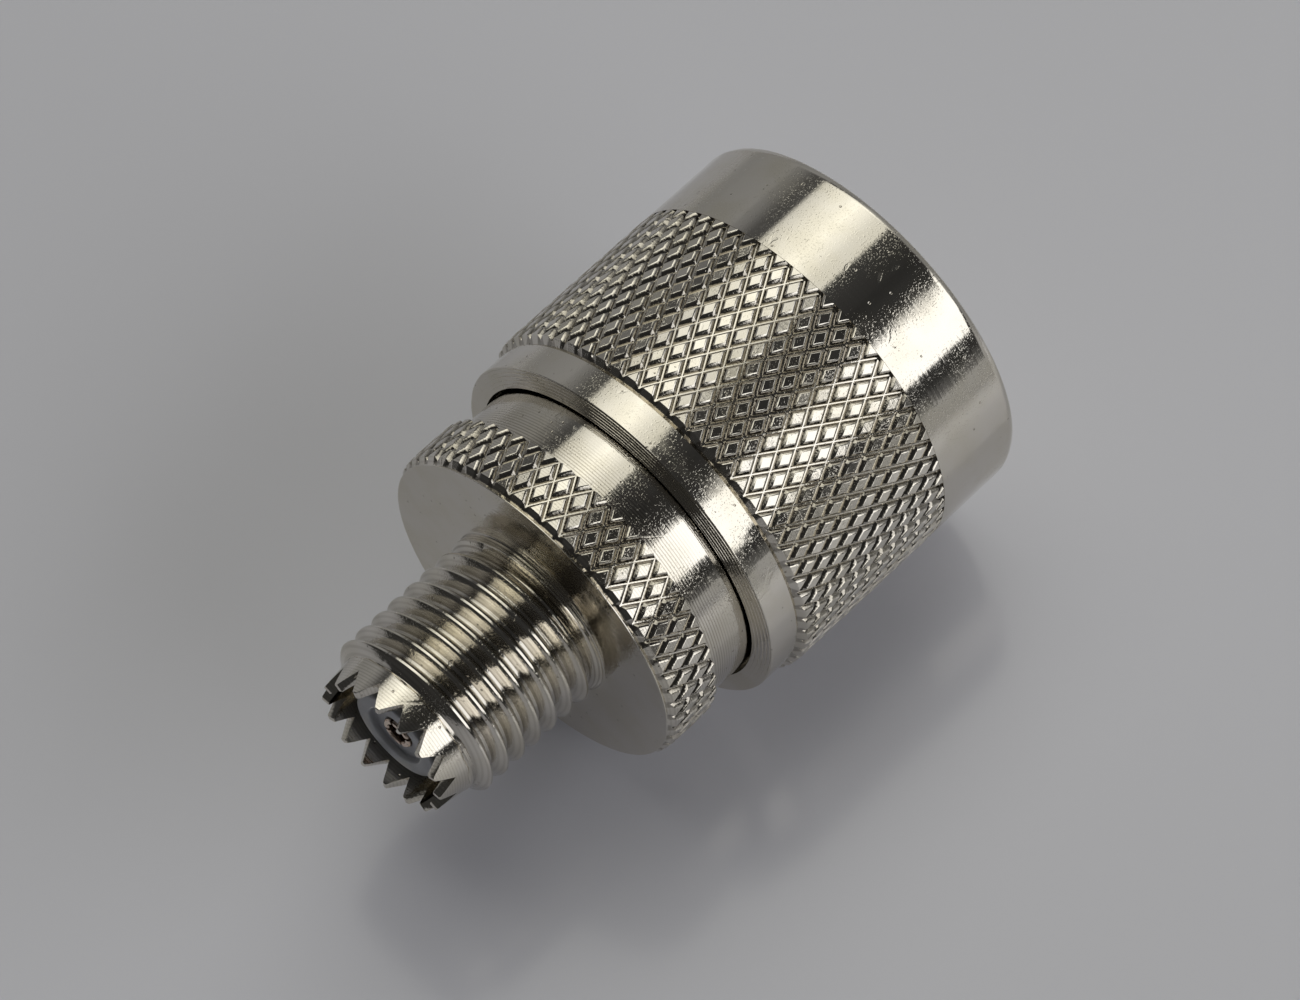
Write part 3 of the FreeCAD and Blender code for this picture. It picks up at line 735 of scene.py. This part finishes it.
def jack_shell():
    mesh = new_mesh()
    thread_low_z = FLANGE_FACE_Z + NECK_FILLET
    barrel_end, boss_bore = turned(mesh, eased([
        (BARREL_RADIUS, FLANGE_BACK_Z, 0),
        (BARREL_RADIUS, JOURNAL_BACK_Z, 0.08),
        (JOURNAL_RADIUS, JOURNAL_BACK_Z, 0.05),
        (JOURNAL_RADIUS, SHELL_GROOVE_HIGH_Z, 0.02),
        (SHELL_GROOVE_RADIUS, SHELL_GROOVE_HIGH_Z, 0.02),
        (SHELL_GROOVE_RADIUS, SHELL_GROOVE_LOW_Z, 0.02),
        (JOURNAL_RADIUS, SHELL_GROOVE_LOW_Z, 0.02),
        (JOURNAL_RADIUS, SEAT_Z, 0.08),
        (SHELL_BORE_RADIUS, SEAT_Z, 0.03),
        (SHELL_BORE_RADIUS, SHANK_BACK_Z, 0),
        (REAR_FLANGE_RADIUS, SHANK_BACK_Z, 0),
        (REAR_FLANGE_RADIUS, REAR_POCKET_Z, 0),
        (BOSS_RADIUS, REAR_POCKET_Z, 0),
        (BOSS_RADIUS, CROWN_FLOOR_Z, 0),
    ], closed=False), closed=False)
    land, face_inner = turned(mesh, eased([
        (FLANGE_LAND_RADIUS - KNURL_UNDERCUT, FLANGE_CONE_Z - UNDERCUT_RISE, 0),
        (FLANGE_LAND_RADIUS, FLANGE_CONE_Z, 0),
        (FLANGE_LAND_RADIUS, FLANGE_FACE_Z, 0.03),
        (FLANGE_LAND_RADIUS - FACE_SUPPORT, FLANGE_FACE_Z, 0),
        (JACK_THREAD_RADIUS + NECK_FILLET + FACE_SUPPORT, FLANGE_FACE_Z, 0),
        (JACK_THREAD_RADIUS + NECK_FILLET, FLANGE_FACE_Z, 0.04),
        (JACK_THREAD_RADIUS, thread_low_z, 0),
    ], closed=False), closed=False)
    knurl_low, knurl_high = knurled(
        mesh, FLANGE_KNURL_CREST, FLANGE_KNURL_DEPTH, FLANGE_BACK_Z, FLANGE_LAND_Z,
        FLANGE_KNURL_TEETH, FLANGE_KNURL_ROWS, FLANGE_KNURL_FIRST_NOTCH_DEG)
    flat_ring(mesh, barrel_end, knurl_low)
    flat_ring(mesh, knurl_high, land)

    def radius_at(z, share):
        """Thread that runs out at the flange and is cut back by the lead cone."""
        depth = JACK_THREAD_DEPTH * smooth_step((z - thread_low_z) / THREAD_RUN_OUT)
        lead = (z - JACK_LEAD_Z) / (CROWN_BASE_Z - JACK_LEAD_Z)
        cone = JACK_THREAD_RADIUS - (JACK_THREAD_RADIUS - CROWN_BASE_RADIUS) * max(0.0, lead)
        return max(CROWN_BASE_RADIUS, min(cone, JACK_THREAD_RADIUS - depth * share))

    thread_low, thread_high = threaded(
        mesh, thread_low_z, CROWN_BASE_Z, JACK_THREAD_CREST_Z, radius_at)
    floor = crown(mesh, thread_high)
    skin(mesh, floor, boss_bore)
    joined(mesh, face_inner + thread_low)
    finished("knurled_jack_shell", mesh, "adapter_body", SHELL_NICKEL, "rear_shell")


def joined(mesh, vertices):
    """Welds the vertices that lie on each other."""
    bmesh.ops.remove_doubles(mesh, verts=vertices, dist=WELD)


def turned_piece(name, outline, material, node, closed=True):
    mesh = new_mesh()
    turned(mesh, eased(outline, closed), closed)
    finished(name, mesh, "adapter_body", material, node)


def contact_sleeve():
    turned_piece("plug_contact_sleeve", [
        (SLEEVE_BORE_RADIUS, SLEEVE_FRONT_Z, 0.16),
        (SLEEVE_RADIUS, SLEEVE_FRONT_Z, 0.16),
        (SLEEVE_RADIUS, GASKET_Z, 0.03),
        (SLEEVE_ROOT_RADIUS, GASKET_Z, 0.04),
        (SLEEVE_ROOT_RADIUS, SEAT_Z, 0),
        (SHANK_RADIUS, SEAT_Z, 0.03),
        (SHANK_RADIUS, SHANK_BACK_Z, 0),
        (BEAD_FLANGE_RADIUS, SHANK_BACK_Z, 0),
        (BEAD_FLANGE_RADIUS, BEAD_STEP_Z, 0),
        (SLEEVE_BORE_RADIUS, BEAD_STEP_Z, 0),
    ], SLEEVE_NICKEL, "outer_contact_sleeve")


def gasket():
    turned_piece("plug_gasket", [
        (GASKET_BORE, GASKET_Z, 0.10), (GASKET_RADIUS, GASKET_Z, 0.22),
        (GASKET_RADIUS, SEAT_Z, 0.12), (GASKET_BORE, SEAT_Z, 0.05),
    ], SILICONE, "front_gasket")


def front_bead():
    turned_piece("plug_bead", [
        (PIN_NECK_RADIUS, BEAD_FACE_Z, 0.05), (SLEEVE_BORE_RADIUS - BEAD_CLEARANCE, BEAD_FACE_Z, 0.12),
        (SLEEVE_BORE_RADIUS - BEAD_CLEARANCE, BEAD_STEP_Z, 0), (BEAD_FLANGE_RADIUS, BEAD_STEP_Z, 0),
        (BEAD_FLANGE_RADIUS, SHANK_BACK_Z, 0), (PIN_NECK_RADIUS, SHANK_BACK_Z, 0),
    ], FRONT_FLUOROPOLYMER, "front_insulator")


def rear_bead():
    collar_z = SHANK_BACK_Z + SOCKET_COLLAR_LENGTH
    turned_piece("jack_boss", [
        (SOCKET_COLLAR_RADIUS + BEAD_CLEARANCE, SHANK_BACK_Z, 0),
        (REAR_FLANGE_RADIUS - BEAD_CLEARANCE, SHANK_BACK_Z, 0),
        (REAR_FLANGE_RADIUS - BEAD_CLEARANCE, REAR_POCKET_Z, 0),
        (BOSS_RADIUS - BEAD_CLEARANCE, REAR_POCKET_Z, 0),
        (BOSS_RADIUS - BEAD_CLEARANCE, BOSS_Z, 0.16), (BOSS_RECESS_RADIUS, BOSS_Z, 0.10),
        (BOSS_RECESS_RADIUS, BOSS_Z - BOSS_RECESS_DEPTH, 0.10),
        (SOCKET_RADIUS + BEAD_CLEARANCE, BOSS_Z - BOSS_RECESS_DEPTH, 0.04),
        (SOCKET_RADIUS + BEAD_CLEARANCE, collar_z, 0), (SOCKET_COLLAR_RADIUS + BEAD_CLEARANCE, collar_z, 0),
    ], REAR_PLASTIC, "rear_insulator")


def centre_pin():
    turned_piece("plug_centre_pin", [
        (0, PIN_TIP_Z, 0), (PIN_RADIUS * 0.55, PIN_TIP_Z + 0.10, 0.25),
        (PIN_RADIUS, PIN_TIP_Z + PIN_NOSE_LENGTH + 0.35, 0.30), (PIN_RADIUS, PIN_SHOULDER_Z, 0.05),
        (PIN_SHOULDER_RADIUS, PIN_SHOULDER_Z, 0.10), (PIN_SHOULDER_RADIUS, BEAD_FACE_Z, 0),
        (PIN_NECK_RADIUS, BEAD_FACE_Z, 0), (PIN_NECK_RADIUS, SHANK_BACK_Z, 0),
        (SPIGOT_RADIUS, SHANK_BACK_Z, 0), (SPIGOT_RADIUS, PIN_BACK_Z, 0.08), (0, PIN_BACK_Z, 0),
    ], PIN_GOLD, "centre_pin", closed=False)


def socket_contact():
    """Slotted socket of the jack: a tube that saw cuts part into spring fingers."""
    mesh = new_mesh()
    slot_low_z = SOCKET_MOUTH_Z - SOCKET_SLOT_LENGTH
    half = TURN / SOCKET_FINGERS / 2
    steps = 10
    for finger in range(SOCKET_FINGERS):
        middle = half + TURN / SOCKET_FINGERS * finger - math.radians(45)
        section = [
            (SOCKET_BORE_RADIUS, slot_low_z), (SOCKET_BORE_RADIUS, SOCKET_MOUTH_Z - SOCKET_LIP),
            (SOCKET_BORE_RADIUS + SOCKET_LIP, SOCKET_MOUTH_Z), (SOCKET_RADIUS - SOCKET_LIP, SOCKET_MOUTH_Z),
            (SOCKET_RADIUS, SOCKET_MOUTH_Z - SOCKET_LIP), (SOCKET_RADIUS, slot_low_z)]
        columns = []
        for step in range(steps + 1):
            side = 2 * step / steps - 1
            columns.append([
                mesh.verts.new(polar(
                    radius, middle + side * (half - SOCKET_SLOT_WIDTH / 2 / radius), z))
                for radius, z in section])
        for first, second in zip(columns, columns[1:]):
            for row in range(len(section)):
                after = (row + 1) % len(section)
                face(mesh, first[row], second[row], second[after], first[after])
        mesh.faces.new(columns[0])
        mesh.faces.new(columns[-1])
    collar_z = SHANK_BACK_Z + SOCKET_COLLAR_LENGTH
    bore_z = SOCKET_MOUTH_Z - SOCKET_BORE_DEPTH
    turned(mesh, eased([
        (0, bore_z, 0), (SOCKET_BORE_RADIUS, bore_z, 0), (SOCKET_BORE_RADIUS, slot_low_z, 0),
        (SOCKET_RADIUS, slot_low_z, 0), (SOCKET_RADIUS, collar_z, 0),
        (SOCKET_COLLAR_RADIUS, collar_z, 0), (SOCKET_COLLAR_RADIUS, SHANK_BACK_Z, 0),
        (SPIGOT_RADIUS + BEAD_CLEARANCE, SHANK_BACK_Z, 0), (SPIGOT_RADIUS + BEAD_CLEARANCE, PIN_BACK_Z, 0),
        (0, PIN_BACK_Z, 0),
    ], closed=False), closed=False)
    finished("jack_socket_contact", mesh, "adapter_body", SOCKET_GOLD, "socket_contact")


def floor():
    """Pale glossy sheet under the adapter as it lies in the photograph, clear from beneath."""
    bpy.ops.mesh.primitive_circle_add(vertices=96, radius=FLOOR_RADIUS * MM, fill_type="NGON")
    sheet = bpy.context.object
    sheet.name = "pale_sheet"
    sheet.rotation_mode = "QUATERNION"
    sheet.rotation_quaternion = FLOOR_UP.to_track_quat("Z", "Y")
    sheet.location = (FLOOR_UP * -FLOOR_DISTANCE + Vector((0, 0, TIP_Z / 2))) * MM
    material, tree, shader = start_material("pale_glossy_sheet")
    shader.inputs["Base Color"].default_value = SHEET_COLOUR
    shader.inputs["Roughness"].default_value = 0.16
    shader.inputs["Specular IOR Level"].default_value = 0.45
    spot = add(tree, "TexCoord").outputs["Object"]
    away = add(tree, "VectorMath", {0: spot}, operation="LENGTH").outputs["Value"]
    fade = ramp(tree, away, FLOOR_RADIUS * 0.5 * MM, FLOOR_RADIUS * 0.95 * MM)
    beneath = add(tree, "NewGeometry").outputs["Backfacing"]
    clear = maths(tree, "MAXIMUM", beneath, fade)
    nothing = add(tree, "BsdfTransparent").outputs[0]
    mixed = add(tree, "MixShader", {0: clear, 1: shader.outputs[0], 2: nothing})
    output = next(n for n in tree.nodes if n.type == "OUTPUT_MATERIAL")
    tree.links.new(mixed.outputs[0], output.inputs["Surface"])
    sheet.data.materials.append(material)


# Softboxes and dark gaps round the part's axis: bearing in degrees and brightness
STUDIO_BANDS = (
    (0, 0.276), (30, 0.23), (42, 0.35), (66, 0.376), (203, 0.376), (204.5, 0.13), (209, 0.07),
    (211, 0.03), (218.2, 0.03), (220.4, 1.6), (250.2, 1.6), (253.0, 0.04), (270, 0.028),
    (289, 0.05), (292, 0.92), (300, 0.98), (312, 1.55), (326, 1.17), (333, 0.90), (339, 0.08),
    (345, 0.08), (352, 0.20), (360, 0.276),
)
BAND_PEAK = 2.0
BAND_LEAN = 5.0
WALL_GLANCE = -0.36
SOFTBOX_CUT = 0.32
WARM_BAND = (290, 338)
WARM_LIGHT = (1.0, 0.99, 0.91)
OVERHEAD_TONE = 0.035
OVERHEAD_RISE = (0.38, 0.56)
UNDER_TONE = 0.25
UNDER_DROP = (-0.80, -0.95)


def studio():
    """World of softboxes in bands round the adapter, shown to the camera as a plain grey."""
    world = bpy.data.worlds.new("studio")
    bpy.context.scene.world = world
    world.use_nodes = True
    tree = world.node_tree
    tree.nodes.clear()
    parts = add(tree, "SeparateXYZ", {0: add(tree, "TexCoord").outputs["Generated"]}).outputs
    bearing = maths(tree, "DIVIDE", maths(tree, "ARCTAN2", parts[1], parts[0]), TURN)
    lean = ramp(
        tree, parts[2], WALL_GLANCE - 0.3, WALL_GLANCE + 0.3, -BAND_LEAN / 360, BAND_LEAN / 360)
    bearing = maths(tree, "FRACT", maths(tree, "ADD", maths(tree, "ADD", bearing, lean), 1.0))
    bands = add(tree, "ValToRGB", {"Fac": bearing})
    stops = bands.color_ramp.elements
    stops.remove(stops[-1])
    for index, (degrees, brightness) in enumerate(STUDIO_BANDS):
        stop = stops[0] if index == 0 else stops.new(degrees / 360)
        stop.position = degrees / 360
        warm = WARM_BAND[0] < degrees < WARM_BAND[1]
        light = WARM_LIGHT if warm else (1.0, 1.0, 1.0)
        stop.color = (*[brightness / BAND_PEAK * share for share in light], 1)
    lit = add(tree, "Background", {"Color": bands.outputs[0], "Strength": BAND_PEAK})
    above = add(tree, "Background", {"Color": (OVERHEAD_TONE,) * 3 + (1,)})
    under = add(tree, "Background", {"Color": (UNDER_TONE,) * 3 + (1,)})
    ahead = maths(tree, "MAXIMUM", maths(tree, "MULTIPLY", parts[1], -SOFTBOX_CUT), 0.0)
    upwards = ramp(tree, maths(tree, "ADD", parts[2], ahead), *OVERHEAD_RISE)
    light = add(tree, "MixShader", {0: upwards, 1: lit.outputs[0], 2: above.outputs[0]})
    downwards = ramp(tree, parts[2], *UNDER_DROP)
    light = add(tree, "MixShader", {0: downwards, 1: light.outputs[0], 2: under.outputs[0]})
    plain = add(tree, "Background", {"Color": BACKDROP})
    seen = add(tree, "LightPath").outputs["Is Camera Ray"]
    both = add(tree, "MixShader", {0: seen, 1: light.outputs[0], 2: plain.outputs[0]})
    add(tree, "OutputWorld", {"Surface": both.outputs[0]})


def camera():
    tilt, roll = math.radians(CAMERA_ELEVATION_DEG), math.radians(CAMERA_ROLL_DEG)
    back = Vector((0, -math.cos(tilt), math.sin(tilt)))
    level, upright = Vector((1, 0, 0)), Vector((0, math.sin(tilt), math.cos(tilt)))
    right = level * math.cos(roll) + upright * math.sin(roll)
    above = back.cross(right)
    lens = bpy.data.cameras.new("photo_camera")
    lens.lens = CAMERA_LENS_MM
    lens.clip_start = 0.01
    viewer = bpy.data.objects.new("photo_camera", lens)
    turned_camera = Matrix((right, above, back)).transposed().to_4x4()
    viewer.matrix_world = Matrix.Translation(CAMERA_PLACE) @ turned_camera
    bpy.context.scene.collection.objects.link(viewer)
    bpy.context.scene.camera = viewer


camera()
studio()
floor()
coupling_nut()
jack_shell()
contact_sleeve()
gasket()
front_bead()
rear_bead()
centre_pin()
socket_contact()
ring_slots = frame["nodes"]["snap_ring"].data.materials
ring_slots.clear()
ring_slots.append(SPRING_WIRE)

scene = bpy.context.scene
scene.view_settings.view_transform = "Standard"
